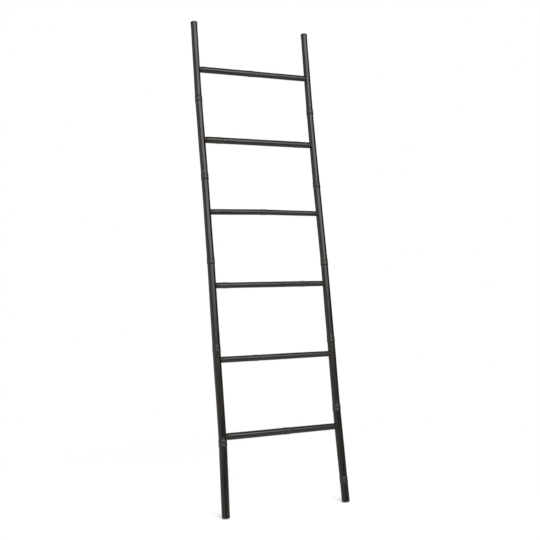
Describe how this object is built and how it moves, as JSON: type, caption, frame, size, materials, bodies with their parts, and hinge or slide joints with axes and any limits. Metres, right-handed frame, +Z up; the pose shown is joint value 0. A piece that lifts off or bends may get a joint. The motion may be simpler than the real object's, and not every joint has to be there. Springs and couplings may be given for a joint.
{
  "type": "blanket ladder",
  "caption": "Leaning bamboo blanket ladder: two tapered rails joined by round rungs tenoned and nailed into them, for hanging blankets and towels.",
  "frame": {"origin": "on the floor, at the middle of the leaning ladder's plan: half way between the rails and half way from the feet to the wall side", "axes": "+X across the ladder to the right as seen from the front, +Y from the front back to the wall, +Z up; the rails lean 10.6 degrees towards +Y"},
  "size_m": [0.5186, 0.3672, 1.8224],
  "materials": {
    "bamboo_rail": "black-brown stained bamboo, satin",
    "bamboo_rung": "black-brown stained bamboo, satin",
    "nail_steel": "black-coated wire nail"
  },
  "bodies": {
    "root": {"nail_left_1": "nail_steel", "nail_left_2": "nail_steel", "nail_left_3": "nail_steel", "nail_left_4": "nail_steel", "nail_left_5": "nail_steel", "nail_left_6": "nail_steel", "nail_right_1": "nail_steel", "nail_right_2": "nail_steel", "nail_right_3": "nail_steel", "nail_right_4": "nail_steel", "nail_right_5": "nail_steel", "nail_right_6": "nail_steel", "rail_left": "bamboo_rail", "rail_right": "bamboo_rail", "rung_1": "bamboo_rung", "rung_2": "bamboo_rung", "rung_3": "bamboo_rung", "rung_4": "bamboo_rung", "rung_5": "bamboo_rung", "rung_6": "bamboo_rung"}
  },
  "joints": []
}
